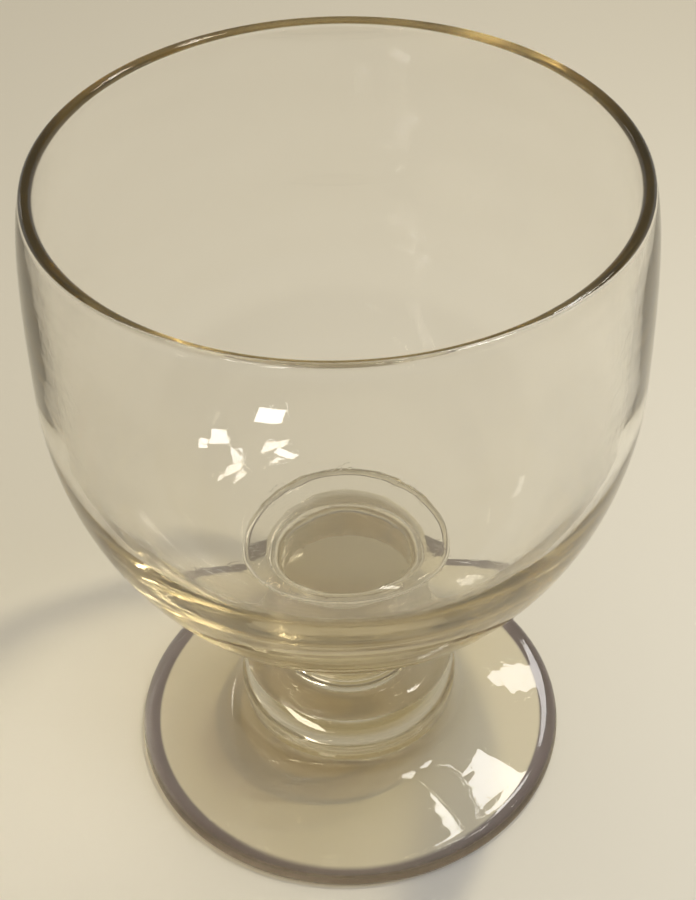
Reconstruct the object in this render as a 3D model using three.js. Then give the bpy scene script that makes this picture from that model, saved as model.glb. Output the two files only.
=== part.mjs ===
// A sherbet glass: a short-stemmed drinking glass, blown in clear glass.
// Four gathers of glass are fused hot, one on top of the other: a foot, a knopped stem, a collar and a bowl.
// Every piece is round, so each is one outline of radius and height turned about the upright axis.
// Millimetres, +Z up. The origin is on the axis, in the plane that the foot rests on.

import * as THREE from "three";

// Foot: a low cone with a rounded edge, a raised seat for the knop and a hollow underside.
const FOOT_RADIUS = 34.8;
const FOOT_EDGE_THICKNESS = 3.0;
const FOOT_HEIGHT = 8.8;
const FOOT_SEAT_RISE = 3.0;
const FOOT_SEAT_FLARE = 2.0;
const REST_RING_WIDTH = 1.6;
const UNDERSIDE_HOLLOW = 1.8;

// Knop: a wide cushion, narrowest where it stands on the foot.
const KNOP_RADIUS = 17.5;
const KNOP_UNDERCUT = 0.4;
const KNOP_BELLY_HEIGHT = 3.6;
const KNOP_SHOULDER_HEIGHT = 5.3;

// Neck: a straight round waist that spreads below into the knop and above under the collar.
const NECK_RADIUS = 9.9;
const NECK_FILLET = 3.0;
const NECK_LENGTH = 8.2;
const NECK_FLARE = 3.1;
const NECK_FLARE_HEIGHT = 5.4;

// Collar: a flat wafer with a rounded edge, wider than the top of the neck.
const COLLAR_OVERHANG = 4.3;
const COLLAR_THICKNESS = 3.4;
const COLLAR_EDGE_ROUNDING = 1.4;

// Bowl: a deep round cup, thick at the bottom and drawn in a little at the rim.
const BOWL_RADIUS = 42.45;
const BOWL_LOWER_HEIGHT = 40.2;
const BOWL_UPPER_HEIGHT = 30.3;
const BOWL_WALL = 2.2;
const BOWL_FLOOR_RADIUS = 8.0;
const BOWL_FLOOR_THICKNESS = 5.4;
const RIM_RADIUS = 40.5;
const RIM_THICKNESS = 1.8;
const RIM_LEAN = 1.7;
const RIM_LEAN_DEPTH = 4.8;

// How full the bowl's curves are, as shares of the span that each curve crosses.
const OUTSIDE_BASE_FULLNESS = 0.55;
const OUTSIDE_SIDE_FULLNESS = 0.47;
const INSIDE_BASE_FULLNESS = 0.6;
const INSIDE_SIDE_FULLNESS = 0.52;
const UPPER_SIDE_FULLNESS = 0.4;

// A cubic curve whose handles are this share of its span follows a quarter of an ellipse.
const QUARTER_HANDLE = 0.5523;

// How finely the round shapes are divided.
const TURNING_STEPS = 64;
const LONG_CURVE_STEPS = 12;
const CURVE_STEPS = 7;
const EDGE_STEPS = 4;

const GLASS_COLOUR = 0xe4e2d2;
const GLASS_ROUGHNESS = 0.05;
const GLASS_METALNESS = 0;
const GLASS_OPACITY = 0.35;

// Sizes that two pieces share where they meet.
const knopSeatRadius = KNOP_RADIUS - KNOP_UNDERCUT;
const knopHeight = KNOP_BELLY_HEIGHT + KNOP_SHOULDER_HEIGHT;
const stemHeight = knopHeight + NECK_FILLET + NECK_LENGTH + NECK_FLARE_HEIGHT;
const neckTopRadius = NECK_RADIUS + NECK_FLARE;
const collarRadius = neckTopRadius + COLLAR_OVERHANG;
const collarFlatRadius = collarRadius - COLLAR_EDGE_ROUNDING;

// Heights at which the pieces stand on each other.
const stemBase = FOOT_HEIGHT;
const collarBase = stemBase + stemHeight;
const bowlBase = collarBase + COLLAR_THICKNESS;

function at(radius, height) {
  return new THREE.Vector2(radius, height);
}

// A smooth curve between two points, drawn towards two handles on the way.
function bend(from, fromHandle, toHandle, to, steps) {
  return new THREE.CubicBezierCurve(from, fromHandle, toHandle, to).getPoints(steps);
}

// A quarter of an ellipse that leaves level and arrives upright.
function quarterLevelFirst(from, to, steps) {
  const fromHandle = at(from.x + QUARTER_HANDLE * (to.x - from.x), from.y);
  const toHandle = at(to.x, to.y - QUARTER_HANDLE * (to.y - from.y));
  return bend(from, fromHandle, toHandle, to, steps);
}

// A quarter of an ellipse that leaves upright and arrives level.
function quarterUprightFirst(from, to, steps) {
  const fromHandle = at(from.x, from.y + QUARTER_HANDLE * (to.y - from.y));
  const toHandle = at(to.x - QUARTER_HANDLE * (to.x - from.x), to.y);
  return bend(from, fromHandle, toHandle, to, steps);
}

// Turns an outline about the upright axis. It runs from the axis below, up the outside, to the axis above.
function turnedPiece(name, outline, base) {
  const points = outline.filter((point, i) => i === 0 || !point.equals(outline[i - 1]));
  const geometry = new THREE.LatheGeometry(points, TURNING_STEPS);
  geometry.rotateX(Math.PI / 2);
  const material = new THREE.MeshStandardMaterial({
    color: GLASS_COLOUR,
    roughness: GLASS_ROUGHNESS,
    metalness: GLASS_METALNESS,
    transparent: true,
    opacity: GLASS_OPACITY,
  });
  const mesh = new THREE.Mesh(geometry, material);
  mesh.name = name;
  mesh.position.z = base;
  return mesh;
}

// The foot rests on a narrow flat ring just inside its rounded edge.
function makeFoot() {
  const edgeRounding = FOOT_EDGE_THICKNESS / 2;
  const ringOuter = at(FOOT_RADIUS - edgeRounding, 0);
  const ringInner = at(ringOuter.x - REST_RING_WIDTH, 0);
  const hollowMiddle = at(0, UNDERSIDE_HOLLOW);
  const edgeMiddle = at(FOOT_RADIUS, edgeRounding);
  const edgeTop = at(ringOuter.x, FOOT_EDGE_THICKNESS);
  const slopeFoot = at(knopSeatRadius + FOOT_SEAT_FLARE, FOOT_HEIGHT - FOOT_SEAT_RISE);
  const seatEdge = at(knopSeatRadius, FOOT_HEIGHT);
  const outline = [
    ...bend(hollowMiddle, at(ringInner.x / 2, UNDERSIDE_HOLLOW), at(ringInner.x / 2, 0), ringInner, CURVE_STEPS),
    ...quarterLevelFirst(ringOuter, edgeMiddle, EDGE_STEPS),
    ...quarterUprightFirst(edgeMiddle, edgeTop, EDGE_STEPS),
    ...bend(edgeTop, slopeFoot, slopeFoot, seatEdge, LONG_CURVE_STEPS),
    at(0, FOOT_HEIGHT),
  ];
  return turnedPiece("foot", outline, 0);
}

// The knop swells from its seat to its belly, rounds over its shoulder and runs up into the neck.
function makeKnoppedStem() {
  const seatEdge = at(knopSeatRadius, 0);
  const belly = at(KNOP_RADIUS, KNOP_BELLY_HEIGHT);
  const bellyHandle = at(KNOP_RADIUS, KNOP_BELLY_HEIGHT / 2);
  const shoulder = at(NECK_RADIUS + NECK_FILLET, knopHeight);
  const neckBottom = at(NECK_RADIUS, knopHeight + NECK_FILLET);
  const neckTop = at(NECK_RADIUS, neckBottom.y + NECK_LENGTH);
  const stemTop = at(neckTopRadius, stemHeight);
  const outline = [
    at(0, 0),
    ...bend(seatEdge, bellyHandle, bellyHandle, belly, EDGE_STEPS),
    ...quarterUprightFirst(belly, shoulder, CURVE_STEPS),
    ...quarterLevelFirst(shoulder, neckBottom, EDGE_STEPS),
    ...quarterUprightFirst(neckTop, stemTop, EDGE_STEPS),
    at(0, stemHeight),
  ];
  return turnedPiece("knopped_stem", outline, stemBase);
}

// The collar's flat faces seat the neck below and the bowl above.
function makeCollar() {
  const middle = COLLAR_THICKNESS / 2;
  const edge = at(collarRadius, middle);
  const outline = [
    at(0, 0),
    ...quarterLevelFirst(at(collarFlatRadius, 0), edge, EDGE_STEPS),
    ...quarterUprightFirst(edge, at(collarFlatRadius, COLLAR_THICKNESS), EDGE_STEPS),
    at(0, COLLAR_THICKNESS),
  ];
  return turnedPiece("collar", outline, collarBase);
}

// The bowl's flat pad is as wide as the collar's flat face. Its wall thins from the floor to the rounded rim.
function makeBowl() {
  const lipRounding = RIM_THICKNESS / 2;
  const lipHeight = BOWL_LOWER_HEIGHT + BOWL_UPPER_HEIGHT - lipRounding;
  const upperSpan = lipHeight - BOWL_LOWER_HEIGHT;
  const bellyHandleHeight = BOWL_LOWER_HEIGHT + UPPER_SIDE_FULLNESS * upperSpan;
  const insideRadius = BOWL_RADIUS - BOWL_WALL;
  const mouthRadius = RIM_RADIUS - RIM_THICKNESS;

  const padEdge = at(collarFlatRadius, 0);
  const padHandle = at(padEdge.x + OUTSIDE_BASE_FULLNESS * (BOWL_RADIUS - padEdge.x), 0);
  const sideHandle = at(BOWL_RADIUS, BOWL_LOWER_HEIGHT * (1 - OUTSIDE_SIDE_FULLNESS));
  const belly = at(BOWL_RADIUS, BOWL_LOWER_HEIGHT);
  const lipOutside = at(RIM_RADIUS, lipHeight);
  const lipTop = at(RIM_RADIUS - lipRounding, lipHeight + lipRounding);
  const lipInside = at(mouthRadius, lipHeight);
  const insideBelly = at(insideRadius, BOWL_LOWER_HEIGHT);
  const insideSpan = BOWL_LOWER_HEIGHT - BOWL_FLOOR_THICKNESS;
  const insideSideHandle = at(insideRadius, BOWL_LOWER_HEIGHT - INSIDE_SIDE_FULLNESS * insideSpan);
  const floorEdge = at(BOWL_FLOOR_RADIUS, BOWL_FLOOR_THICKNESS);
  const floorHandle = at(floorEdge.x + INSIDE_BASE_FULLNESS * (insideRadius - floorEdge.x), floorEdge.y);

  const leanHeight = lipHeight - RIM_LEAN_DEPTH;
  const outline = [
    at(0, 0),
    ...bend(padEdge, padHandle, sideHandle, belly, LONG_CURVE_STEPS),
    ...bend(belly, at(BOWL_RADIUS, bellyHandleHeight), at(RIM_RADIUS + RIM_LEAN, leanHeight), lipOutside, CURVE_STEPS),
    ...quarterUprightFirst(lipOutside, lipTop, EDGE_STEPS),
    ...quarterLevelFirst(lipTop, lipInside, EDGE_STEPS),
    ...bend(lipInside, at(mouthRadius + RIM_LEAN, leanHeight), at(insideRadius, bellyHandleHeight), insideBelly,
      CURVE_STEPS),
    ...bend(insideBelly, insideSideHandle, floorHandle, floorEdge, LONG_CURVE_STEPS),
    at(0, BOWL_FLOOR_THICKNESS),
  ];
  return turnedPiece("bowl", outline, bowlBase);
}

const sherbetGlass = new THREE.Group();
sherbetGlass.name = "sherbet_glass";
sherbetGlass.add(makeFoot(), makeKnoppedStem(), makeCollar(), makeBowl());

export default sherbetGlass;
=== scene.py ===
import math

import bmesh
import bpy
from mathutils import Matrix, Vector, noise


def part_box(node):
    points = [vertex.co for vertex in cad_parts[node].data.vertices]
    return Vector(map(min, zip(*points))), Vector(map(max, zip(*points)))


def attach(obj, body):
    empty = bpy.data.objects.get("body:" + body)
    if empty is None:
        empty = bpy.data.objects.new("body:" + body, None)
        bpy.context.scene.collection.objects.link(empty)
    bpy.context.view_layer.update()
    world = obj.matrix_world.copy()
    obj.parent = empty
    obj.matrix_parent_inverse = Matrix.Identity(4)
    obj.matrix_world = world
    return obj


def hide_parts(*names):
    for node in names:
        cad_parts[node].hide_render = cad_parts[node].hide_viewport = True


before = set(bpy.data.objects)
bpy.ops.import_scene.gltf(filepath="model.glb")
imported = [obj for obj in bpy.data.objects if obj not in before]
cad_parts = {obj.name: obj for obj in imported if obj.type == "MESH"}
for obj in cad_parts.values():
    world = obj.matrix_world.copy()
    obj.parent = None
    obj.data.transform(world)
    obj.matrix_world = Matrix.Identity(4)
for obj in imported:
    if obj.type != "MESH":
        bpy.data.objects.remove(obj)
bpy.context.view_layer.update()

# The sherbet glass in clear glass: four fused pieces, each one closed skin turned about the upright axis.
# Metres, +Z up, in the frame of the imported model.

MM = 0.001

# Foot: a low cone with a rounded edge, a raised seat for the knop and a hollow underside.
FOOT_EDGE_THICKNESS = 3.0 * MM
FOOT_EDGE_ROUNDING = 2.3 * MM
FOOT_WIDEST_HEIGHT = 0.9 * MM
FOOT_SEAT_RISE = 3.0 * MM
FOOT_SEAT_FLARE = 2.0 * MM
REST_RING_WIDTH = 2.2 * MM
UNDERSIDE_HOLLOW = 1.8 * MM

# Knop: a wide cushion, narrowest where it stands on the foot.
KNOP_UNDERCUT = 0.4 * MM
KNOP_BELLY_HEIGHT = 3.6 * MM
KNOP_SHOULDER_HEIGHT = 5.3 * MM

# Neck: a straight round waist that spreads below into the knop and above under the collar.
NECK_RADIUS = 9.9 * MM
NECK_FILLET = 3.0 * MM
NECK_FLARE = 3.1 * MM
NECK_FLARE_HEIGHT = 5.4 * MM

COLLAR_EDGE_ROUNDING = 1.4 * MM

# Bowl: a deep round cup, thick at the bottom and drawn in a little at the rim.
BOWL_LOWER_HEIGHT = 40.2 * MM
BOWL_WALL = 2.2 * MM
BOWL_FLOOR_RADIUS = 8.0 * MM
BOWL_FLOOR_THICKNESS = 5.4 * MM
RIM_RADIUS = 40.5 * MM
RIM_THICKNESS = 1.8 * MM
RIM_LEAN = 1.7 * MM
RIM_LEAN_DEPTH = 4.8 * MM

# How full the bowl's curves are, as shares of the span that each curve crosses.
OUTSIDE_BASE_FULLNESS = 0.55
OUTSIDE_SIDE_FULLNESS = 0.47
INSIDE_BASE_FULLNESS = 0.6
INSIDE_SIDE_FULLNESS = 0.52
UPPER_SIDE_FULLNESS = 0.4

# A cubic curve whose handles are this share of its span follows a quarter of an ellipse.
QUARTER_HANDLE = 0.5523

# Where two pieces are fused, one of them reaches this far into the other, so that no film of air shows.
# What reaches in is this much narrower than the face that it leaves.
FUSED_DEPTH = 0.02 * MM
FUSED_INSET = 0.1 * MM

# How finely the round shapes are divided, and the angle above which an edge is drawn sharp.
TURNING_STEPS = 256
LONG_CURVE_STEPS = 56
CURVE_STEPS = 28
EDGE_STEPS = 10
SHARP_EDGE_ANGLE = math.radians(40)
# Points of an outline that are nearer than this are one point, and this near the axis they are on it.
SAME_PLACE = 1e-7


def lerp(a, b, t):
    return a + (b - a) * t


def bend(start, start_handle, end_handle, end, steps):
    """Points of a cubic curve, from start to end."""
    points = []
    for i in range(steps + 1):
        t = i / steps
        s = 1 - t
        weights = (s ** 3, 3 * s * s * t, 3 * s * t * t, t ** 3)
        points.append(tuple(
            sum(w * p[axis] for w, p in zip(weights, (start, start_handle, end_handle, end)))
            for axis in (0, 1)
        ))
    return points


def quarter_level_first(start, end, steps):
    """A quarter of an ellipse that leaves level and arrives upright."""
    start_handle = (lerp(start[0], end[0], QUARTER_HANDLE), start[1])
    end_handle = (end[0], lerp(end[1], start[1], QUARTER_HANDLE))
    return bend(start, start_handle, end_handle, end, steps)


def quarter_upright_first(start, end, steps):
    """A quarter of an ellipse that leaves upright and arrives level."""
    start_handle = (start[0], lerp(start[1], end[1], QUARTER_HANDLE))
    end_handle = (lerp(end[0], start[0], QUARTER_HANDLE), end[1])
    return bend(start, start_handle, end_handle, end, steps)


# The frame gives each piece's outer radius, base and top.
def radius_of(node):
    low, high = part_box(node)
    return (high[0] - low[0]) / 2


def base_of(node):
    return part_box(node)[0][2]


def top_of(node):
    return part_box(node)[1][2]


foot_radius, foot_top = radius_of("foot"), top_of("foot")
knop_radius = radius_of("knopped_stem")
stem_base, stem_top = base_of("knopped_stem"), top_of("knopped_stem")
collar_radius, collar_base, collar_top = radius_of("collar"), base_of("collar"), top_of("collar")
bowl_radius, bowl_base, bowl_top = radius_of("bowl"), base_of("bowl"), top_of("bowl")
knop_seat_radius = knop_radius - KNOP_UNDERCUT
neck_top_radius = NECK_RADIUS + NECK_FLARE
collar_flat_radius = collar_radius - COLLAR_EDGE_ROUNDING


def foot_outline():
    ring_outer = (foot_radius - FOOT_WIDEST_HEIGHT, 0)
    ring_inner = (ring_outer[0] - REST_RING_WIDTH, 0)
    edge_middle = (foot_radius, FOOT_WIDEST_HEIGHT)
    edge_top = (foot_radius - FOOT_EDGE_ROUNDING, FOOT_EDGE_THICKNESS)
    slope_foot = (knop_seat_radius + FOOT_SEAT_FLARE, foot_top - FOOT_SEAT_RISE)
    hollow_middle = (0, UNDERSIDE_HOLLOW)
    hollow_handles = (ring_inner[0] / 2, UNDERSIDE_HOLLOW), (ring_inner[0] / 2, 0)
    return [
        bend(hollow_middle, *hollow_handles, ring_inner, CURVE_STEPS),
        quarter_level_first(ring_outer, edge_middle, EDGE_STEPS),
        quarter_upright_first(edge_middle, edge_top, EDGE_STEPS),
        bend(edge_top, slope_foot, slope_foot, (knop_seat_radius, foot_top), LONG_CURVE_STEPS),
        [(0, foot_top)],
    ]


def stem_outline():
    knop_top = stem_base + KNOP_BELLY_HEIGHT + KNOP_SHOULDER_HEIGHT
    belly = (knop_radius, stem_base + KNOP_BELLY_HEIGHT)
    belly_handle = (knop_radius, stem_base + KNOP_BELLY_HEIGHT / 2)
    shoulder = (NECK_RADIUS + NECK_FILLET, knop_top)
    neck_bottom = (NECK_RADIUS, knop_top + NECK_FILLET)
    neck_top = (NECK_RADIUS, stem_top - NECK_FLARE_HEIGHT)
    return [
        [(0, stem_base - FUSED_DEPTH), (knop_seat_radius - FUSED_INSET, stem_base - FUSED_DEPTH)],
        bend((knop_seat_radius, stem_base), belly_handle, belly_handle, belly, CURVE_STEPS),
        quarter_upright_first(belly, shoulder, CURVE_STEPS),
        quarter_level_first(shoulder, neck_bottom, EDGE_STEPS),
        bend(neck_bottom, neck_bottom, neck_top, neck_top, EDGE_STEPS),
        quarter_upright_first(neck_top, (neck_top_radius, stem_top), CURVE_STEPS),
        [(neck_top_radius - FUSED_INSET, stem_top + FUSED_DEPTH), (0, stem_top + FUSED_DEPTH)],
    ]


def collar_outline():
    edge = (collar_radius, (collar_base + collar_top) / 2)
    return [
        [(0, collar_base)],
        quarter_level_first((collar_flat_radius, collar_base), edge, EDGE_STEPS),
        quarter_upright_first(edge, (collar_flat_radius, collar_top), EDGE_STEPS),
        [(0, collar_top)],
    ]


def bowl_outline():
    lip = RIM_THICKNESS / 2
    lip_height = bowl_top - lip
    belly_height = bowl_base + BOWL_LOWER_HEIGHT
    handle_height = lerp(belly_height, lip_height, UPPER_SIDE_FULLNESS)
    lean_height = lip_height - RIM_LEAN_DEPTH
    inside_radius = bowl_radius - BOWL_WALL
    mouth_radius = RIM_RADIUS - RIM_THICKNESS
    floor_height = bowl_base + BOWL_FLOOR_THICKNESS

    pad_edge = (collar_flat_radius, bowl_base)
    pad_handle = (lerp(pad_edge[0], bowl_radius, OUTSIDE_BASE_FULLNESS), bowl_base)
    side_handle = (bowl_radius, lerp(belly_height, bowl_base, OUTSIDE_SIDE_FULLNESS))
    belly = (bowl_radius, belly_height)
    upper_handle = (bowl_radius, handle_height)
    lean_handle = (RIM_RADIUS + RIM_LEAN, lean_height)
    lip_outside = (RIM_RADIUS, lip_height)
    lip_top = (RIM_RADIUS - lip, bowl_top)
    lip_inside = (mouth_radius, lip_height)
    inside_lean_handle = (mouth_radius + RIM_LEAN, lean_height)
    inside_upper_handle = (inside_radius, handle_height)
    inside_belly = (inside_radius, belly_height)
    inside_handle = (inside_radius, lerp(belly_height, floor_height, INSIDE_SIDE_FULLNESS))
    floor_edge = (BOWL_FLOOR_RADIUS, floor_height)
    floor_handle = (lerp(floor_edge[0], inside_radius, INSIDE_BASE_FULLNESS), floor_height)
    return [
        [(0, bowl_base - FUSED_DEPTH), (collar_flat_radius - FUSED_INSET, bowl_base - FUSED_DEPTH)],
        bend(pad_edge, pad_handle, side_handle, belly, LONG_CURVE_STEPS),
        bend(belly, upper_handle, lean_handle, lip_outside, CURVE_STEPS),
        quarter_upright_first(lip_outside, lip_top, EDGE_STEPS),
        quarter_level_first(lip_top, lip_inside, EDGE_STEPS),
        bend(lip_inside, inside_lean_handle, inside_upper_handle, inside_belly, CURVE_STEPS),
        bend(inside_belly, inside_handle, floor_handle, floor_edge, LONG_CURVE_STEPS),
        [(0, floor_height)],
    ]


# Hand-blown glass is never quite even. These runs of a piece's outline, counted from 0, sink up to this far
# below their true place, and a tool's fine rings sink them a little further. Nothing stands above its true
# place. The sinking fades out over a sixth of a run's steps at each end, so pieces still meet exactly.
UNEVENNESS = {
    "foot_glass": {3: 0.06 * MM},
    "stem_glass": {1: 0.08 * MM, 2: 0.14 * MM, 4: 0.10 * MM},
    "collar_glass": {},
    "bowl_glass": {1: 0.10 * MM, 2: 0.05 * MM, 5: 0.06 * MM, 6: 0.09 * MM},
}
SINK_FADE = 2
# How fast the slow waves change: the radius of their circle round the axis and their steps along a metre of
# outline, in cells of the noise. Then the depth and spacing of the fine rings, and a start for each piece's
# noise, so that no two pieces share their waves.
WAVES_ROUND = 1.9
WAVES_PER_METRE = 60
TOOL_RING_DEPTH = 0.004 * MM
TOOL_RING_SPACING = 2.6 * MM
PIECE_SEEDS = {"foot_glass": 3.7, "stem_glass": 11.3, "collar_glass": 19.9, "bowl_glass": 27.1}


def outline_points(name, runs):
    """The outline as (radius, height, depth, travel): how far it may sink there, and how far along it is."""
    points = []
    travel = 0
    for index, run in enumerate(runs):
        depth = UNEVENNESS[name].get(index, 0)
        for step, point in enumerate(run):
            if points:
                gap = math.dist(point, points[-1][:2])
                if gap < SAME_PLACE:
                    continue
                travel += gap
            fade = math.sin(math.pi * step / (len(run) - 1)) if depth else 0
            points.append((*point, depth * min(1, SINK_FADE * fade), travel))
    return points


def sunk(point, before, after, turn, seed):
    """Moves an outline point into the glass by a smooth, repeatable amount for its place on the piece."""
    radius, height, depth, travel = point
    if depth == 0:
        return radius, height
    across, along = after[0] - before[0], after[1] - before[1]
    length = math.hypot(across, along)
    round_piece = (math.cos(turn) * WAVES_ROUND, math.sin(turn) * WAVES_ROUND)
    slow = 0.5 + 0.5 * noise.noise(Vector((*round_piece, seed + travel * WAVES_PER_METRE)))
    ring = 0.5 + 0.5 * math.sin(2 * math.pi * travel / TOOL_RING_SPACING)
    sink = depth * max(0, min(1, slow)) + TOOL_RING_DEPTH * ring * min(1, depth / TOOL_RING_DEPTH)
    return radius - along / length * sink, height + across / length * sink


def turned_piece(name, runs, material):
    """Turns an outline about the axis. It runs from the axis below, up the outside, to the axis above."""
    points = outline_points(name, runs)
    seed = PIECE_SEEDS[name]
    bm = bmesh.new()
    rings = []
    for i, point in enumerate(points):
        if point[0] < SAME_PLACE:
            rings.append([bm.verts.new((0, 0, point[1]))])
            continue
        ring = []
        for k in range(TURNING_STEPS):
            turn = 2 * math.pi * k / TURNING_STEPS
            radius, height = sunk(point, points[i - 1], points[i + 1], turn, seed)
            ring.append(bm.verts.new((radius * math.cos(turn), radius * math.sin(turn), height)))
        rings.append(ring)
    for lower, upper in zip(rings, rings[1:]):
        for k in range(TURNING_STEPS):
            j = (k + 1) % TURNING_STEPS
            if len(lower) == 1:
                bm.faces.new((lower[0], upper[j], upper[k]))
            elif len(upper) == 1:
                bm.faces.new((lower[k], lower[j], upper[0]))
            else:
                bm.faces.new((lower[k], lower[j], upper[j], upper[k]))
    mesh = bpy.data.meshes.new(name)
    bm.to_mesh(mesh)
    bm.free()
    mesh.shade_smooth()
    mesh.set_sharp_from_angle(angle=SHARP_EDGE_ANGLE)
    mesh.materials.append(material)
    piece = bpy.data.objects.new(name, mesh)
    bpy.context.scene.collection.objects.link(piece)
    return piece


# The glass itself: how strongly it bends light, and the colour that it takes on with depth.
GLASS_IOR = 1.52
STRAW = (0.82, 0.745, 0.52, 1)
ABSORPTION_DENSITY = 24.0

# What a lamp's light keeps at each face that it crosses squarely, and at a slant, and between which slants
# one turns into the other.
SHADOW_SQUARE = {
    "foot_glass": (0.91, 0.88, 0.77, 1),
    "stem_glass": (0.80, 0.74, 0.63, 1),
    "collar_glass": (0.94, 0.92, 0.86, 1),
    "bowl_glass": (0.985, 0.98, 0.95, 1),
}
SHADOW_SLANTING = (0.10, 0.085, 0.06, 1)
SHADOW_STOPS = (0.35, 0.95)
SLANT_BLEND = 0.5

# The rest ring, ground dull by use, with painted shade for the contact shadow under the foot: its
# painted-shade tint, its roughness, what it lets a lamp's light keep (little, so its shadow is dark), and how
# soft its ends are in height and in width.
RING_PAINTED_SHADE = (0.30, 0.26, 0.31, 1)
WORN_ROUGHNESS = 0.25
RING_CONTACT_SHADOW = (0.22, 0.20, 0.24, 1)
RING_FADE = 0.3 * MM
# Painted shade on the front of the foot's outer edge, darker on that side: its tint, how far in from the edge
# it starts and is full, and where along Y it starts and is full.
EDGE_PAINTED_SHADE = (0.24, 0.20, 0.24, 1)
EDGE_FADE = (0.8 * MM, 0.2 * MM)
EDGE_SIDE = (-6 * MM, -22 * MM)

# Cords of slightly different glass, left by the blowing, and faint smudges and fine scratches on it.
CORD_SCALE = 34
CORD_DETAIL = 3
CORD_STRETCH = (1, 1, 3.2)
CORD_TINTS = ((0.95, 0.945, 0.93, 1), (1, 1, 1, 1))
CORD_DEPTH = 0.03 * MM
SMUDGE_SCALE = 48
SMUDGE_DETAIL = 5
SMUDGE_STOPS = (0.50, 0.78)
SMUDGE_ROUGHNESS = 0.02
SCRATCH_SCALE = 260
SCRATCH_DETAIL = 2
SCRATCH_STOPS = (0.485, 0.5)
SCRATCH_DEPTH = 0.002 * MM
BUMP_STRENGTH = 0.6


def ranged(nodes, links, value, stops, results=(0, 1)):
    """A smooth step from one result to the other as the value crosses between two stops."""
    step = nodes.new("ShaderNodeMapRange")
    step.interpolation_type = "SMOOTHSTEP"
    step.inputs["From Min"].default_value, step.inputs["From Max"].default_value = stops
    step.inputs["To Min"].default_value, step.inputs["To Max"].default_value = results
    links.new(value, step.inputs["Value"])
    return step.outputs["Result"]


def mixed(nodes, links, share, first, second):
    """A colour mixed from two, each a plain colour or another node's output."""
    mix = nodes.new("ShaderNodeMix")
    mix.data_type = "RGBA"
    links.new(share, mix.inputs["Factor"])
    for socket, colour in (("A", first), ("B", second)):
        if isinstance(colour, tuple):
            mix.inputs[socket].default_value = colour
        else:
            links.new(colour, mix.inputs[socket])
    return mix.outputs["Result"]


def noise_texture(nodes, links, place, scale, detail):
    texture = nodes.new("ShaderNodeTexNoise")
    texture.inputs["Scale"].default_value = scale
    texture.inputs["Detail"].default_value = detail
    links.new(place, texture.inputs["Vector"])
    return texture.outputs["Fac"]


def product(nodes, links, first, second):
    times = nodes.new("ShaderNodeMath")
    times.operation = "MULTIPLY"
    links.new(first, times.inputs[0])
    links.new(second, times.inputs[1])
    return times.outputs["Value"]


def foot_wear_and_shade(nodes, links, place):
    """Two shares, 0 elsewhere: 1 on the ring that the foot rests on, and 1 on the front side of its edge,
    where shade is painted.
    """
    split = nodes.new("ShaderNodeSeparateXYZ")
    links.new(place, split.inputs["Vector"])
    level = nodes.new("ShaderNodeCombineXYZ")
    links.new(split.outputs["X"], level.inputs["X"])
    links.new(split.outputs["Y"], level.inputs["Y"])
    reach = nodes.new("ShaderNodeVectorMath")
    reach.operation = "LENGTH"
    links.new(level.outputs["Vector"], reach.inputs[0])
    ring_inner = foot_radius - FOOT_WIDEST_HEIGHT - REST_RING_WIDTH
    far_out = ranged(nodes, links, reach.outputs["Value"], (ring_inner - RING_FADE, ring_inner + RING_FADE))
    low_down = ranged(nodes, links, split.outputs["Z"], (RING_FADE, 0))
    edge_stops = [foot_radius - inset for inset in EDGE_FADE]
    edge = ranged(nodes, links, reach.outputs["Value"], edge_stops)
    side = ranged(nodes, links, split.outputs["Y"], EDGE_SIDE)
    return product(nodes, links, far_out, low_down), product(nodes, links, edge, side)


def glass_tone(nodes, links, place, cords):
    """The colour and roughness of the glass: faint cords and smudges."""
    tint = mixed(nodes, links, cords, *CORD_TINTS)
    smudges = noise_texture(nodes, links, place, SMUDGE_SCALE, SMUDGE_DETAIL)
    return tint, ranged(nodes, links, smudges, SMUDGE_STOPS, (0, SMUDGE_ROUGHNESS))


def worn_and_shaded_tone(nodes, links, place, tint, roughness, square):
    """The foot's colour, roughness and shadow: rougher on the rest ring from wear, and darker there and on
    the front of its edge by painted shade.
    """
    ring_wear_and_shade, edge = foot_wear_and_shade(nodes, links, place)
    # Painted shade: the front of the edge and the rest ring are darkened in the glass's own colour.
    tint = mixed(nodes, links, edge, tint, EDGE_PAINTED_SHADE)
    tint = mixed(nodes, links, ring_wear_and_shade, tint, RING_PAINTED_SHADE)
    dull = nodes.new("ShaderNodeMath")
    dull.operation = "MULTIPLY_ADD"
    dull.inputs[1].default_value = WORN_ROUGHNESS
    links.new(ring_wear_and_shade, dull.inputs[0])
    links.new(roughness, dull.inputs[2])
    return tint, dull.outputs["Value"], mixed(nodes, links, ring_wear_and_shade, square, RING_CONTACT_SHADOW)


def bump(nodes, links, height, depth):
    node = nodes.new("ShaderNodeBump")
    node.inputs["Strength"].default_value = BUMP_STRENGTH
    node.inputs["Distance"].default_value = depth
    links.new(height, node.inputs["Height"])
    return node


def glass_surface(nodes, links, place, cords):
    """The normal of the glass: slow cords with fine scratches on them."""
    lines = noise_texture(nodes, links, place, SCRATCH_SCALE, SCRATCH_DETAIL)
    fine = bump(nodes, links, ranged(nodes, links, lines, SCRATCH_STOPS), SCRATCH_DEPTH)
    slow = bump(nodes, links, cords, CORD_DEPTH)
    links.new(fine.outputs["Normal"], slow.inputs["Normal"])
    return slow.outputs["Normal"]


def shadow_filter(nodes, links, square):
    """What a lamp's light goes through: clear where it meets a face squarely, dark where it is at a slant."""
    slant = nodes.new("ShaderNodeLayerWeight")
    slant.inputs["Blend"].default_value = SLANT_BLEND
    dimming = ranged(nodes, links, slant.outputs["Facing"], SHADOW_STOPS)
    clear = nodes.new("ShaderNodeBsdfTransparent")
    links.new(mixed(nodes, links, dimming, square, SHADOW_SLANTING), clear.inputs["Color"])
    return clear.outputs["BSDF"]


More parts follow.
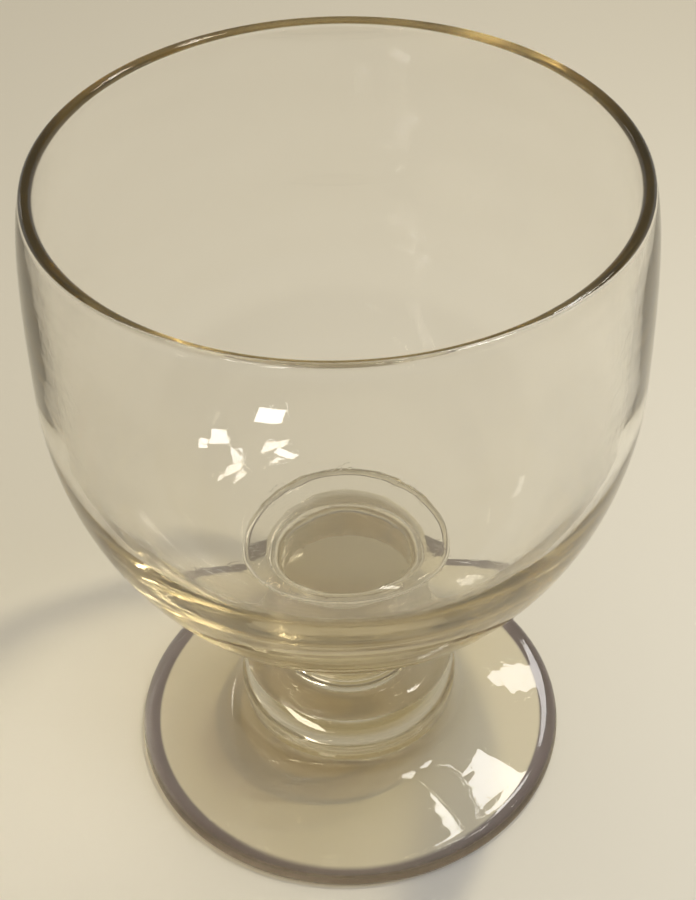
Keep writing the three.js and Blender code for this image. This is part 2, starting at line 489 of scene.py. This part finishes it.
def absorb(nodes, links):
    """Gives the glass its straw colour, deeper where it is thicker."""
    inside = nodes.new("ShaderNodeVolumeAbsorption")
    inside.inputs["Color"].default_value = STRAW
    inside.inputs["Density"].default_value = ABSORPTION_DENSITY
    links.new(inside.outputs["Volume"], nodes["Material Output"].inputs["Volume"])


def glass_material(name, worn_and_shaded_foot):
    """Clear glass with cords, smudges and scratches, and a plain filter for the light that casts shadows."""
    material = bpy.data.materials.new(name)
    material.use_nodes = True
    nodes, links = material.node_tree.nodes, material.node_tree.links
    shader = nodes["Principled BSDF"]
    shader.inputs["IOR"].default_value = GLASS_IOR
    shader.inputs["Transmission Weight"].default_value = 1.0

    place = nodes.new("ShaderNodeTexCoord").outputs["Object"]
    stretched = nodes.new("ShaderNodeMapping")
    stretched.inputs["Scale"].default_value = CORD_STRETCH
    links.new(place, stretched.inputs["Vector"])
    cords = noise_texture(nodes, links, stretched.outputs["Vector"], CORD_SCALE, CORD_DETAIL)
    tint, roughness = glass_tone(nodes, links, place, cords)
    square = SHADOW_SQUARE[name]
    # On the foot, wear roughens the rest ring, and painted shade darkens it and the front of the edge.
    if worn_and_shaded_foot:
        tint, roughness, square = worn_and_shaded_tone(nodes, links, place, tint, roughness, square)
    links.new(tint, shader.inputs["Base Color"])
    links.new(roughness, shader.inputs["Roughness"])
    links.new(glass_surface(nodes, links, place, cords), shader.inputs["Normal"])

    path = nodes.new("ShaderNodeLightPath")
    either = nodes.new("ShaderNodeMixShader")
    links.new(path.outputs["Is Shadow Ray"], either.inputs["Fac"])
    links.new(shader.outputs["BSDF"], either.inputs[1])
    links.new(shadow_filter(nodes, links, square), either.inputs[2])
    links.new(either.outputs["Shader"], nodes["Material Output"].inputs["Surface"])
    absorb(nodes, links)
    return material


def add_glass():
    for name, node, slot, outline in (
        ("foot_glass", "foot", "foot_glass", foot_outline()),
        ("stem_glass", "knopped_stem", "stem_glass", stem_outline()),
        ("collar_glass", "collar", "collar_glass", collar_outline()),
        ("bowl_glass", "bowl", "bowl_glass", bowl_outline()),
    ):
        piece = turned_piece(name, outline, glass_material(name, worn_and_shaded_foot=node == "foot"))
        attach(piece, "root")
        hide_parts(node)


# The floor lies a little below the foot, so that the two don't touch. It fades into the even pale ground
# between two distances from the axis.
PALE = (0.60, 0.57, 0.50, 1)
FLOOR_SIZE = 8.0
FLOOR_DROP = 0.1 * MM
FLOOR_COLOUR = (0.775, 0.735, 0.66, 1)
FLOOR_ROUGHNESS = 0.7
FLOOR_FADE = (0.28, 0.60)


def add_floor():
    """A pale floor that holds the shadow near the glass and runs out into an even pale ground."""
    bm = bmesh.new()
    bmesh.ops.create_grid(bm, x_segments=1, y_segments=1, size=FLOOR_SIZE / 2)
    mesh = bpy.data.meshes.new("floor")
    bm.to_mesh(mesh)
    bm.free()
    floor = bpy.data.objects.new("floor", mesh)
    floor.location = (0, 0, -FLOOR_DROP)
    bpy.context.scene.collection.objects.link(floor)
    material = bpy.data.materials.new("floor")
    material.use_nodes = True
    nodes, links = material.node_tree.nodes, material.node_tree.links
    shader = nodes["Principled BSDF"]
    shader.inputs["Base Color"].default_value = FLOOR_COLOUR
    shader.inputs["Roughness"].default_value = FLOOR_ROUGHNESS
    place = nodes.new("ShaderNodeNewGeometry")
    reach = nodes.new("ShaderNodeVectorMath")
    reach.operation = "LENGTH"
    links.new(place.outputs["Position"], reach.inputs[0])
    ground = nodes.new("ShaderNodeEmission")
    ground.inputs["Color"].default_value = PALE
    either = nodes.new("ShaderNodeMixShader")
    links.new(ranged(nodes, links, reach.outputs["Value"], FLOOR_FADE), either.inputs["Fac"])
    links.new(shader.outputs["BSDF"], either.inputs[1])
    links.new(ground.outputs["Emission"], either.inputs[2])
    links.new(either.outputs["Shader"], nodes["Material Output"].inputs["Surface"])
    mesh.materials.append(material)


# The room that the glass mirrors and bends: dim in front, with a warm wall behind the glass, a pale ceiling
# above and the pale of the backdrop along the horizon and below. Each pair of stops is where that tone starts
# and is full, along one axis of the direction. The camera itself sees the backdrop's pale all round.
ROOM_DIM = (0.024, 0.032, 0.085, 1)
ROOM_WARM = (0.42, 0.35, 0.20, 1)
ROOM_CEILING = (0.56, 0.53, 0.46, 1)
WARM_STOPS = (0.05, 0.50)
CEILING_STOPS = (0.54, 0.80)
HORIZON_STOPS = (0.30, 0.16)


def add_world():
    world = bpy.data.worlds.new("room")
    bpy.context.scene.world = world
    world.use_nodes = True
    nodes, links = world.node_tree.nodes, world.node_tree.links
    place = nodes.new("ShaderNodeTexCoord")
    split = nodes.new("ShaderNodeSeparateXYZ")
    links.new(place.outputs["Generated"], split.inputs["Vector"])
    tone = ROOM_DIM
    for colour, axis, stops in (
        (ROOM_WARM, "Y", WARM_STOPS),
        (ROOM_CEILING, "Z", CEILING_STOPS),
        (PALE, "Z", HORIZON_STOPS),
    ):
        tone = mixed(nodes, links, ranged(nodes, links, split.outputs[axis], stops), tone, colour)
    path = nodes.new("ShaderNodeLightPath")
    backdrop = mixed(nodes, links, path.outputs["Is Camera Ray"], tone, PALE)
    links.new(backdrop, nodes["Background"].inputs["Color"])


# All lamps point here, at the bottom of the bowl.
LAMP_AIM = Vector((0, 0, 0.04))


def add_lamp(name, azimuth, height, distance, size, radiance, colour, mirrored_in=()):
    """A lamp that shines at the glass. It lights matt things only, or only the named pieces mirror it."""
    turn, lift = math.radians(azimuth), math.radians(height)
    way = Vector((math.cos(turn) * math.cos(lift), math.sin(turn) * math.cos(lift), math.sin(lift)))
    place = LAMP_AIM + way * distance
    lamp = bpy.data.lights.new(name, "AREA")
    lamp.shape = "RECTANGLE"
    lamp.size, lamp.size_y = size
    lamp.energy = radiance * math.pi * size[0] * size[1]
    lamp.color = colour
    holder = bpy.data.objects.new(name, lamp)
    holder.location = place
    holder.rotation_euler = (LAMP_AIM - place).to_track_quat("-Z", "Y").to_euler()
    holder.visible_camera = False
    holder.visible_diffuse = not mirrored_in
    holder.visible_glossy = bool(mirrored_in)
    holder.visible_transmission = bool(mirrored_in)
    if mirrored_in:
        pieces = bpy.data.collections.new(name)
        for piece in mirrored_in:
            pieces.objects.link(bpy.data.objects[piece])
        holder.light_linking.receiver_collection = pieces
    bpy.context.scene.collection.objects.link(holder)


# Lamps that light the floor: name, azimuth and height in degrees, distance, size, light on a level floor and
# colour.
FLOOR_LAMPS = (
    ("key", 28, 70, 0.60, (0.03, 0.03), 0.98, (1.0, 0.90, 0.62)),
    ("near_right", -12, 40, 0.28, (0.16, 0.16), 0.66, (0.80, 0.88, 1.0)),
    ("near_high", 0, 55, 0.32, (0.16, 0.16), 0.14, (0.84, 0.90, 1.0)),
    ("back_right", 56, 50, 0.9, (0.20, 0.20), 0.14, (1.0, 0.97, 0.88)),
)

# Windows that the glass mirrors and bends: name, azimuth and height in degrees, size, radiance, pieces.
BOWL = ("bowl_glass",)
FOOT = ("foot_glass",)
LOWER_PIECES = ("stem_glass", "collar_glass", "foot_glass")
WINDOWS = (
    ("window_a", 18, 47.5, (0.10, 0.14), 20, BOWL),
    ("window_b", -2.5, 66, (0.105, 0.16), 20, BOWL),
    ("window_c", 22, 40.5, (0.06, 0.06), 20, BOWL),
    ("window_d", 33, 54, (0.12, 0.10), 16, BOWL),
    ("window_e", 54, 67.5, (0.13, 0.035), 16, BOWL),
    ("window_foot", 49, 58, (0.10, 0.15), 12, FOOT),
    ("window_band", 62, 42, (0.13, 0.24), 8, FOOT),
    ("window_low", 3, 61, (0.08, 0.10), 12, FOOT),
    ("window_side", -1, 37, (0.05, 0.03), 16, FOOT),
    ("window_knop", 76.5, 32, (0.12, 0.12), 1.4, LOWER_PIECES),
    ("glow_left", -13, 13, (0.12, 0.06), 2.6, BOWL),
    ("glow_right", 133, 18, (0.12, 0.06), 2.6, BOWL),
)
WINDOW_DISTANCE = 0.9
WINDOW_COLOUR = (1.0, 0.98, 0.95)


def add_lamps():
    for name, azimuth, height, distance, size, light, colour in FLOOR_LAMPS:
        radiance = light * distance ** 2 / (size[0] * size[1] * math.sin(math.radians(height)))
        add_lamp(name, azimuth, height, distance, size, radiance, colour)
    for name, azimuth, height, size, radiance, pieces in WINDOWS:
        add_lamp(name, azimuth, height, WINDOW_DISTANCE, size, radiance, WINDOW_COLOUR, pieces)


# The camera that fits the photograph: focal length in its pixels, turns in radians, place in metres.
PHOTO_HEIGHT = 900
FOCAL_PIXELS = 1707.8
SENSOR_MM = 36
CAMERA_PITCH = 0.7321
CAMERA_ROLL = -0.0225
CAMERA_YAW = 0.0034
CAMERA_BACK = 0.18587
CAMERA_HEIGHT = 0.22663
CAMERA_NEAR = 0.01


def add_camera():
    cp, sp = math.cos(CAMERA_PITCH), math.sin(CAMERA_PITCH)
    cy, sy = math.cos(CAMERA_YAW), math.sin(CAMERA_YAW)
    cr, sr = math.cos(CAMERA_ROLL), math.sin(CAMERA_ROLL)
    forward = Vector((sy * cp, cy * cp, -sp))
    right = Vector((cy, -sy, 0))
    up = right.cross(forward)
    turned_right = right * cr + up * sr
    turned_up = up * cr - right * sr
    place = Matrix((turned_right, turned_up, -forward)).transposed().to_4x4()
    place.translation = Vector((0, -CAMERA_BACK, CAMERA_HEIGHT))
    camera = bpy.data.cameras.new("camera")
    camera.sensor_width = SENSOR_MM
    camera.lens = FOCAL_PIXELS / PHOTO_HEIGHT * SENSOR_MM
    camera.clip_start = CAMERA_NEAR
    holder = bpy.data.objects.new("camera", camera)
    holder.matrix_world = place
    bpy.context.scene.collection.objects.link(holder)
    bpy.context.scene.camera = holder


# Light that runs down inside the wall from the rim is turned back many times before it comes out.
LIGHT_TURNS = 64
# Indirect light is cut off here, so that no sample leaves a lone bright speck.
BRIGHTEST_INDIRECT = 20


def set_view():
    scene = bpy.context.scene
    scene.view_settings.view_transform = "Standard"
    scene.cycles.max_bounces = LIGHT_TURNS
    scene.cycles.transmission_bounces = LIGHT_TURNS
    scene.cycles.glossy_bounces = LIGHT_TURNS
    scene.cycles.transparent_max_bounces = LIGHT_TURNS
    scene.cycles.sample_clamp_indirect = BRIGHTEST_INDIRECT


add_camera()
add_glass()
add_floor()
add_world()
add_lamps()
set_view()
